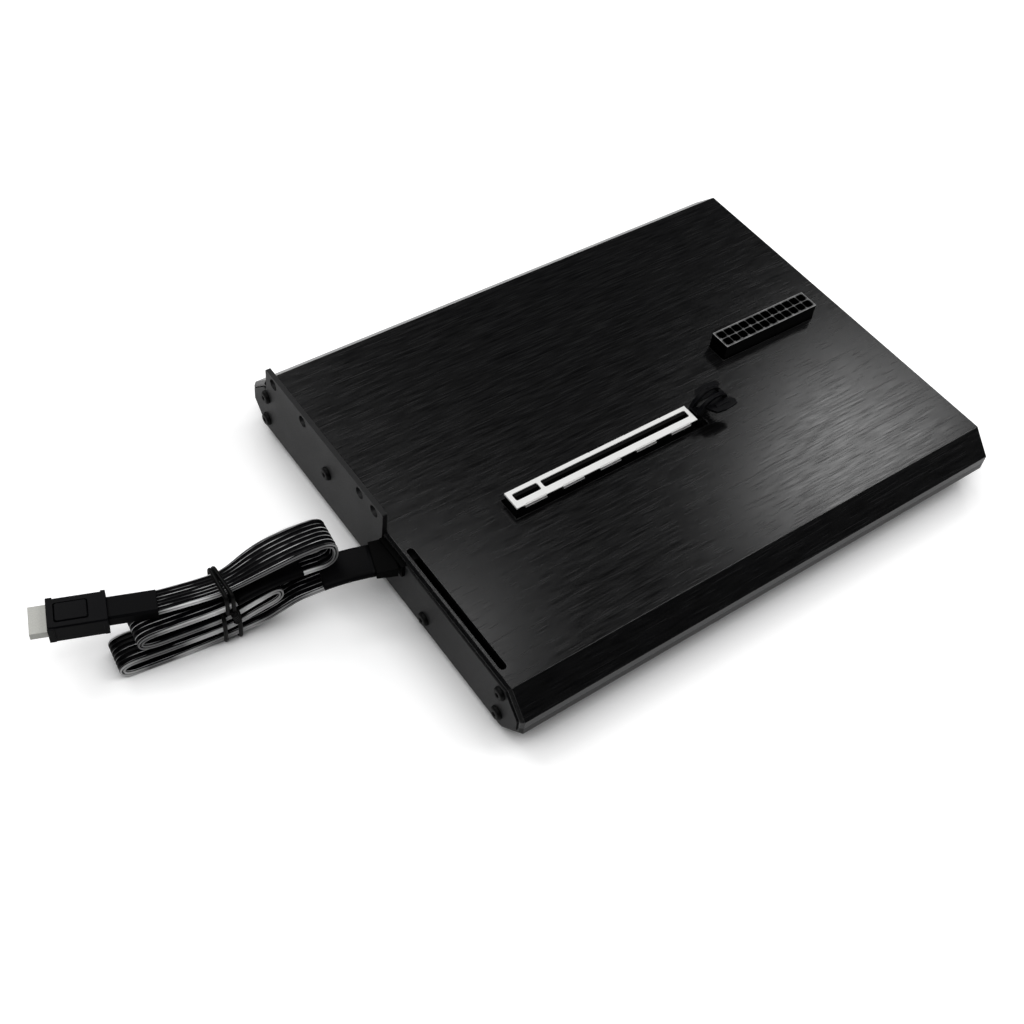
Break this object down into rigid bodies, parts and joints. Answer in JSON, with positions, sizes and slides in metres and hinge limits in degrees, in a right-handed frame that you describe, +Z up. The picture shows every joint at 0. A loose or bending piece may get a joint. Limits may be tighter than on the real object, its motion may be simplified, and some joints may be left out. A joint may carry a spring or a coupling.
{
  "type": "external graphics card dock",
  "caption": "Flat black dock with sloped edges, a shielded card slot with latch, a power header, a power supply bracket and a captive flat cable folded in a hank.",
  "frame": {"origin": "on the table under the middle of the dock, without its cable", "axes": "+X along the dock away from the cable end, +Y to the back, +Z up"},
  "size_m": [0.367, 0.188, 0.0397],
  "materials": {
    "anodised": "black anodised, brushed lengthwise",
    "plate": "dark grey satin",
    "black_screw": "black oxide, satin",
    "foot_rubber": "matte",
    "board": "solder mask, satin",
    "brass_spacer": "turned",
    "bright_screw": "zinc plated",
    "connector_black": "moulded, matte",
    "gold_contact": "gold plated",
    "shield_steel": "bright tin plate",
    "latch_black": "moulded, satin",
    "header_black": "moulded, satin",
    "pin_metal": "tin plated",
    "capacitor_can": "bright",
    "grommet_rubber": "matte",
    "sleeve_black": "shrink sleeve, satin",
    "ribbon": "flat cable, glossy jackets",
    "tie_black": "satin",
    "plug_black": "moulded, satin",
    "tongue_steel": "bright"
  },
  "bodies": {
    "dock": {"top_shell": "anodised", "bottom_shell": "anodised", "left_end_plate": "plate", "right_end_plate": "plate", "left_end_screws": "black_screw", "right_end_screws": "black_screw", "rubber_feet": "foot_rubber", "main_board": "board", "board_spacers": "brass_spacer", "board_screws": "bright_screw", "slot_housing": "connector_black", "slot_contacts": "gold_contact", "slot_shield": "shield_steel", "latch_pin": "bright_screw", "power_header": "header_black", "power_header_pins": "pin_metal", "board_capacitors": "capacitor_can", "link_receptacle": "shield_steel", "inner_plug": "connector_black", "cable_grommet": "grommet_rubber", "cable_sleeve": "sleeve_black", "cable_lead": "ribbon", "cable_hank": "ribbon", "cable_tie": "tie_black", "cable_tail": "ribbon", "plug_boot": "sleeve_black", "plug_body": "plug_black", "plug_tongue": "tongue_steel", "plug_card": "board"},
    "latch": {"slot_latch": "latch_black"},
    "release_button": {"plug_button": "plug_black"}
  },
  "joints": [
    {"name": "latch_hinge", "type": "hinge", "parent": "dock", "child": "latch", "pos_m": [0.018, -0.02, 0.0291], "axis": [0, 1, 0], "range_deg": [0, 18]},
    {"name": "button_press", "type": "slide", "parent": "dock", "child": "release_button", "axis": [0, 0, -1], "range_m": [0, 0.0006], "stiffness_N_per_m": 800, "springref_m": -0.001}
  ]
}
